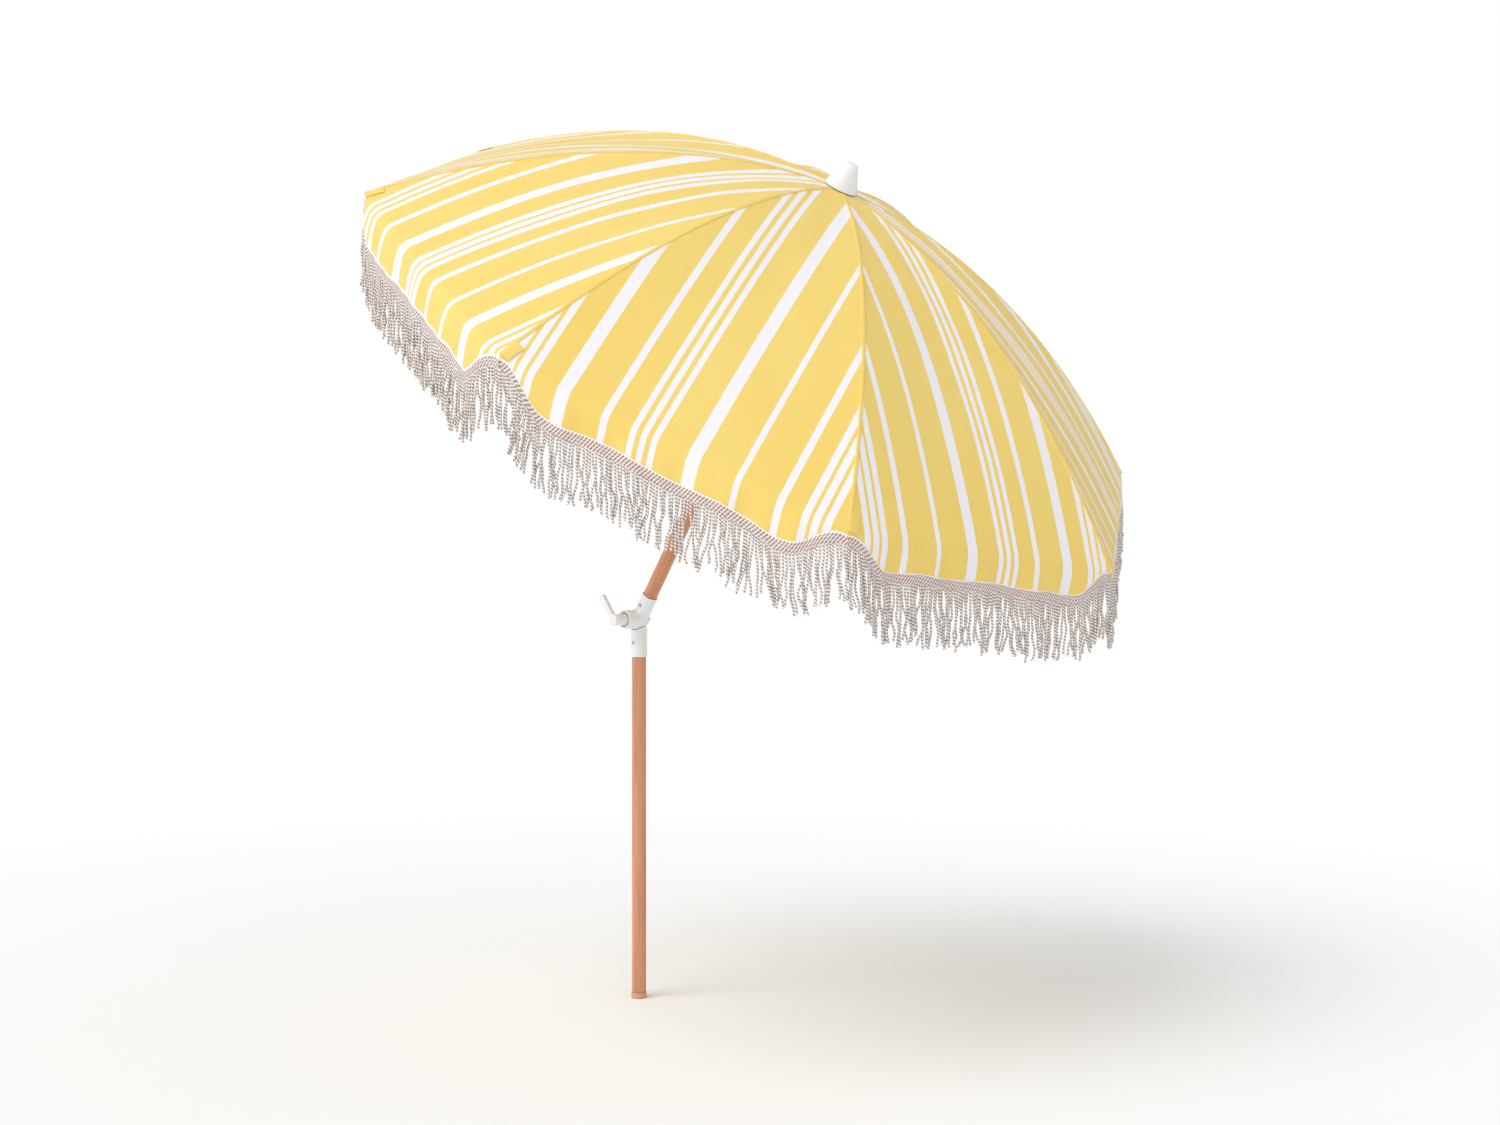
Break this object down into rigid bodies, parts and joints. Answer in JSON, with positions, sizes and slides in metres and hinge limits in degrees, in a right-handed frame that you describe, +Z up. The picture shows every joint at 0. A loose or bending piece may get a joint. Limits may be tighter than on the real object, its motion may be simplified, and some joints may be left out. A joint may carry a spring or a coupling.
{
  "type": "beach umbrella",
  "caption": "Tilting beach umbrella with a striped octagonal canopy, scalloped valance, long cotton fringe, timber pole and a side clamp lever.",
  "frame": {"origin": "centre of the flat underside of the foot cap, where the pole stands in its base", "axes": "+Z up along the lower pole, +X the way the canopy leans, -Y the side of the tilt lever"},
  "size_m": [1.4625, 1.7446, 1.9469],
  "materials": {
    "pole_timber": "clear satin varnish on pale pinkish timber",
    "clear_plastic": "clear moulded cap over the timber",
    "white_plastic": "moulded satin white",
    "fastener_steel": "zinc plated",
    "frame_steel": "white powder coat",
    "canopy_cloth": "woven canvas, yellow with white stripes",
    "fringe_cotton": "natural twisted cotton"
  },
  "bodies": {
    "base": {"foot_cap": "clear_plastic", "lower_pole": "pole_timber", "lower_knuckle": "white_plastic", "lower_screw": "fastener_steel"},
    "mast": {"upper_knuckle": "white_plastic", "upper_screw": "fastener_steel", "clamp_bolt": "fastener_steel", "clamp_washer": "fastener_steel", "upper_pole": "pole_timber", "crown_hub": "white_plastic", "hinge_wire": "fastener_steel", "crown_washer": "fastener_steel", "finial": "white_plastic"},
    "lever": {"tilt_lever": "white_plastic"},
    "runner": {"runner": "white_plastic"},
    "button": {"runner_button": "white_plastic"},
    "rib_1": {"rib_1": "frame_steel", "rib_tip_1": "white_plastic"},
    "stretcher_1": {"stretcher_1": "frame_steel"},
    "panel_1": {"canopy_panel_1": "canopy_cloth"},
    "valance_1": {"valance_panel_1": "fringe_cotton"},
    "rib_2": {"rib_2": "frame_steel", "rib_tip_2": "white_plastic"},
    "stretcher_2": {"stretcher_2": "frame_steel"},
    "panel_2": {"canopy_panel_2": "canopy_cloth"},
    "valance_2": {"valance_panel_2": "fringe_cotton"},
    "rib_3": {"rib_3": "frame_steel", "rib_tip_3": "white_plastic"},
    "stretcher_3": {"stretcher_3": "frame_steel"},
    "panel_3": {"canopy_panel_3": "canopy_cloth"},
    "valance_3": {"valance_panel_3": "fringe_cotton"},
    "rib_4": {"rib_4": "frame_steel", "rib_tip_4": "white_plastic"},
    "stretcher_4": {"stretcher_4": "frame_steel"},
    "panel_4": {"canopy_panel_4": "canopy_cloth"},
    "valance_4": {"valance_panel_4": "fringe_cotton"},
    "rib_5": {"rib_5": "frame_steel", "rib_tip_5": "white_plastic"},
    "stretcher_5": {"stretcher_5": "frame_steel"},
    "panel_5": {"canopy_panel_5": "canopy_cloth"},
    "valance_5": {"valance_panel_5": "fringe_cotton"},
    "rib_6": {"rib_6": "frame_steel", "rib_tip_6": "white_plastic"},
    "stretcher_6": {"stretcher_6": "frame_steel"},
    "panel_6": {"canopy_panel_6": "canopy_cloth"},
    "valance_6": {"valance_panel_6": "fringe_cotton"},
    "rib_7": {"rib_7": "frame_steel", "rib_tip_7": "white_plastic"},
    "stretcher_7": {"stretcher_7": "frame_steel"},
    "panel_7": {"canopy_panel_7": "canopy_cloth"},
    "valance_7": {"valance_panel_7": "fringe_cotton"},
    "rib_8": {"rib_8": "frame_steel", "rib_tip_8": "white_plastic"},
    "stretcher_8": {"stretcher_8": "frame_steel"},
    "panel_8": {"canopy_panel_8": "canopy_cloth"},
    "valance_8": {"valance_panel_8": "fringe_cotton"}
  },
  "joints": [
    {"name": "tilt", "type": "hinge", "parent": "base", "child": "mast", "pos_m": [0, 0, 0.857], "axis": [0, 1, 0], "range_deg": [-33.7, 16.3]},
    {"name": "lever_turn", "type": "hinge", "parent": "mast", "child": "lever", "pos_m": [0, -0.06, 0.857], "axis": [0, 1, 0], "range_deg": [-100, 0]},
    {"name": "canopy_fold", "type": "hinge", "parent": "mast", "child": "rib_1", "pos_m": [0.6064, -0.01393, 1.72669], "axis": [0.4458, 0.8443, -0.2973], "range_deg": [0, 66]},
    {"name": "rib_2_fold", "type": "hinge", "parent": "mast", "child": "rib_2", "pos_m": [0.60925, 0.00567, 1.72479], "axis": [-0.1815, 0.9759, 0.121], "range_deg": [0, 66]},
    {"name": "rib_3_fold", "type": "hinge", "parent": "mast", "child": "rib_3", "pos_m": [0.59972, 0.02195, 1.73114], "axis": [-0.7024, 0.5358, 0.4685], "range_deg": [0, 66]},
    {"name": "rib_4_fold", "type": "hinge", "parent": "mast", "child": "rib_4", "pos_m": [0.58342, 0.02537, 1.74202], "axis": [-0.8119, -0.2181, 0.5415], "range_deg": [0, 66]},
    {"name": "rib_5_fold", "type": "hinge", "parent": "mast", "child": "rib_5", "pos_m": [0.56987, 0.01393, 1.75105], "axis": [-0.4458, -0.8443, 0.2973], "range_deg": [0, 66]},
    {"name": "rib_6_fold", "type": "hinge", "parent": "mast", "child": "rib_6", "pos_m": [0.56703, -0.00567, 1.75295], "axis": [0.1815, -0.9759, -0.121], "range_deg": [0, 66]},
    {"name": "rib_7_fold", "type": "hinge", "parent": "mast", "child": "rib_7", "pos_m": [0.57654, -0.02195, 1.7466], "axis": [0.7024, -0.5358, -0.4685], "range_deg": [0, 66]},
    {"name": "rib_8_fold", "type": "hinge", "parent": "mast", "child": "rib_8", "pos_m": [0.59285, -0.02537, 1.73572], "axis": [0.8119, 0.2181, -0.5415], "range_deg": [0, 66]},
    {"name": "stretcher_1_turn", "type": "hinge", "parent": "rib_1", "child": "stretcher_1", "pos_m": [0.84071, -0.2276, 1.47121], "axis": [0.4458, 0.8443, -0.2973], "range_deg": [-132.5, 0.5]},
    {"name": "stretcher_2_turn", "type": "hinge", "parent": "rib_2", "child": "stretcher_2", "pos_m": [0.88721, 0.09266, 1.4402], "axis": [-0.1815, 0.9759, 0.121], "range_deg": [-132.5, 0.5]},
    {"name": "stretcher_3_turn", "type": "hinge", "parent": "rib_3", "child": "stretcher_3", "pos_m": [0.73169, 0.35864, 1.54392], "axis": [-0.7024, 0.5358, 0.4685], "range_deg": [-132.5, 0.5]},
    {"name": "stretcher_4_turn", "type": "hinge", "parent": "rib_4", "child": "stretcher_4", "pos_m": [0.46525, 0.41454, 1.72161], "axis": [-0.8119, -0.2181, 0.5415], "range_deg": [-132.5, 0.5]},
    {"name": "stretcher_5_turn", "type": "hinge", "parent": "rib_5", "child": "stretcher_5", "pos_m": [0.24396, 0.2276, 1.86919], "axis": [-0.4458, -0.8443, 0.2973], "range_deg": [-132.5, 0.5]},
    {"name": "stretcher_6_turn", "type": "hinge", "parent": "rib_6", "child": "stretcher_6", "pos_m": [0.19746, -0.09266, 1.9002], "axis": [0.1815, -0.9759, -0.121], "range_deg": [-132.5, 0.5]},
    {"name": "stretcher_7_turn", "type": "hinge", "parent": "rib_7", "child": "stretcher_7", "pos_m": [0.35298, -0.35864, 1.79649], "axis": [0.7024, -0.5358, -0.4685], "range_deg": [-132.5, 0.5]},
    {"name": "stretcher_8_turn", "type": "hinge", "parent": "rib_8", "child": "stretcher_8", "pos_m": [0.61943, -0.41454, 1.61879], "axis": [0.8119, 0.2181, -0.5415], "range_deg": [-132.5, 0.5]},
    {"name": "panel_1_fold", "type": "hinge", "parent": "mast", "child": "panel_1", "pos_m": [0.60782, -0.00413, 1.72574], "axis": [0.143, 0.9851, -0.0954], "range_deg": [-0.5, 64.5], "deforming": ["canopy_panel_1"]},
    {"name": "panel_2_fold", "type": "hinge", "parent": "mast", "child": "panel_2", "pos_m": [0.60449, 0.01381, 1.72797], "axis": [-0.4784, 0.8181, 0.319], "range_deg": [-0.5, 64.5], "deforming": ["canopy_panel_2"]},
    {"name": "panel_3_fold", "type": "hinge", "parent": "mast", "child": "panel_3", "pos_m": [0.59157, 0.02366, 1.73658], "axis": [-0.8196, 0.1719, 0.5466], "range_deg": [-0.5, 64.5], "deforming": ["canopy_panel_3"]},
    {"name": "panel_4_fold", "type": "hinge", "parent": "mast", "child": "panel_4", "pos_m": [0.57664, 0.01965, 1.74653], "axis": [-0.6807, -0.575, 0.4539], "range_deg": [-0.5, 64.5], "deforming": ["canopy_panel_4"]},
    {"name": "panel_5_fold", "type": "hinge", "parent": "mast", "child": "panel_5", "pos_m": [0.56845, 0.00413, 1.752], "axis": [-0.143, -0.9851, 0.0954], "range_deg": [-0.5, 64.5], "deforming": ["canopy_panel_5"]},
    {"name": "panel_6_fold", "type": "hinge", "parent": "mast", "child": "panel_6", "pos_m": [0.57178, -0.01381, 1.74978], "axis": [0.4784, -0.8181, -0.319], "range_deg": [-0.5, 64.5], "deforming": ["canopy_panel_6"]},
    {"name": "panel_7_fold", "type": "hinge", "parent": "mast", "child": "panel_7", "pos_m": [0.5847, -0.02366, 1.74116], "axis": [0.8196, -0.1719, -0.5466], "range_deg": [-0.5, 64.5], "deforming": ["canopy_panel_7"]},
    {"name": "panel_8_fold", "type": "hinge", "parent": "mast", "child": "panel_8", "pos_m": [0.59963, -0.01965, 1.73121], "axis": [0.6807, 0.575, -0.4539], "range_deg": [-0.5, 64.5], "deforming": ["canopy_panel_8"]},
    {"name": "valance_1_swing", "type": "hinge", "parent": "panel_1", "child": "valance_1", "pos_m": [1.07398, -0.14185, 1.00257], "axis": [0.143, 0.9851, -0.0954], "range_deg": [-37.9, 0.5], "deforming": ["valance_panel_1"]},
    {"name": "valance_2_swing", "type": "hinge", "parent": "panel_2", "child": "valance_2", "pos_m": [0.95939, 0.47439, 1.07899], "axis": [-0.4784, 0.8181, 0.319], "range_deg": [-42.41, 0.5], "deforming": ["valance_panel_2"]},
    {"name": "valance_3_swing", "type": "hinge", "parent": "panel_3", "child": "valance_3", "pos_m": [0.51583, 0.81274, 1.37481], "axis": [-0.8196, 0.1719, 0.5466], "range_deg": [-59.86, 0.5], "deforming": ["valance_panel_3"]},
    {"name": "valance_4_swing", "type": "hinge", "parent": "panel_4", "child": "valance_4", "pos_m": [0.00315, 0.67499, 1.71673], "axis": [-0.6807, -0.575, 0.4539], "range_deg": [-80.03, 0.5], "deforming": ["valance_panel_4"]},
    {"name": "valance_5_swing", "type": "hinge", "parent": "panel_5", "child": "valance_5", "pos_m": [-0.27834, 0.14185, 1.90446], "axis": [-0.143, -0.9851, 0.0954], "range_deg": [-91.1, 0.5], "deforming": ["valance_panel_5"]},
    {"name": "valance_6_swing", "type": "hinge", "parent": "panel_6", "child": "valance_6", "pos_m": [-0.16374, -0.47439, 1.82803], "axis": [0.4784, -0.8181, -0.319], "range_deg": [-86.59, 0.5], "deforming": ["valance_panel_6"]},
    {"name": "valance_7_swing", "type": "hinge", "parent": "panel_7", "child": "valance_7", "pos_m": [0.27981, -0.81274, 1.53221], "axis": [0.8196, -0.1719, -0.5466], "range_deg": [-69.14, 0.5], "deforming": ["valance_panel_7"]},
    {"name": "valance_8_swing", "type": "hinge", "parent": "panel_8", "child": "valance_8", "pos_m": [0.7925, -0.67499, 1.1903], "axis": [0.6807, 0.575, -0.4539], "range_deg": [-48.98, 0.5], "deforming": ["valance_panel_8"]},
    {"name": "runner_slide", "type": "slide", "parent": "mast", "child": "runner", "axis": [-0.5548, 0, -0.832], "range_m": [-0.001, 0.63265]},
    {"name": "runner_button_press", "type": "slide", "parent": "runner", "child": "button", "axis": [0.143, 0.9851, -0.0954], "range_m": [0, 0.003], "stiffness_N_per_m": 400}
  ],
  "couplings": [
    {"joint": "rib_2_fold", "follows": "canopy_fold", "ratio": 1},
    {"joint": "rib_3_fold", "follows": "canopy_fold", "ratio": 1},
    {"joint": "rib_4_fold", "follows": "canopy_fold", "ratio": 1},
    {"joint": "rib_5_fold", "follows": "canopy_fold", "ratio": 1},
    {"joint": "rib_6_fold", "follows": "canopy_fold", "ratio": 1},
    {"joint": "rib_7_fold", "follows": "canopy_fold", "ratio": 1},
    {"joint": "rib_8_fold", "follows": "canopy_fold", "ratio": 1},
    {"joint": "stretcher_1_turn", "follows": "canopy_fold", "ratio": -2},
    {"joint": "stretcher_2_turn", "follows": "canopy_fold", "ratio": -2},
    {"joint": "stretcher_3_turn", "follows": "canopy_fold", "ratio": -2},
    {"joint": "stretcher_4_turn", "follows": "canopy_fold", "ratio": -2},
    {"joint": "stretcher_5_turn", "follows": "canopy_fold", "ratio": -2},
    {"joint": "stretcher_6_turn", "follows": "canopy_fold", "ratio": -2},
    {"joint": "stretcher_7_turn", "follows": "canopy_fold", "ratio": -2},
    {"joint": "stretcher_8_turn", "follows": "canopy_fold", "ratio": -2},
    {"joint": "panel_1_fold", "follows": "canopy_fold", "ratio": 0.9697},
    {"joint": "panel_2_fold", "follows": "canopy_fold", "ratio": 0.9697},
    {"joint": "panel_3_fold", "follows": "canopy_fold", "ratio": 0.9697},
    {"joint": "panel_4_fold", "follows": "canopy_fold", "ratio": 0.9697},
    {"joint": "panel_5_fold", "follows": "canopy_fold", "ratio": 0.9697},
    {"joint": "panel_6_fold", "follows": "canopy_fold", "ratio": 0.9697},
    {"joint": "panel_7_fold", "follows": "canopy_fold", "ratio": 0.9697},
    {"joint": "panel_8_fold", "follows": "canopy_fold", "ratio": 0.9697},
    {"joint": "valance_1_swing", "follows": "canopy_fold", "ratio": -0.5667},
    {"joint": "valance_2_swing", "follows": "canopy_fold", "ratio": -0.635},
    {"joint": "valance_3_swing", "follows": "canopy_fold", "ratio": -0.89936},
    {"joint": "valance_4_swing", "follows": "canopy_fold", "ratio": -1.2049},
    {"joint": "valance_5_swing", "follows": "canopy_fold", "ratio": -1.3727},
    {"joint": "valance_6_swing", "follows": "canopy_fold", "ratio": -1.3044},
    {"joint": "valance_7_swing", "follows": "canopy_fold", "ratio": -1.04},
    {"joint": "valance_8_swing", "follows": "canopy_fold", "ratio": -0.73447},
    {"joint": "runner_slide", "follows": "canopy_fold", "m_per_rad": 0.54747}
  ]
}
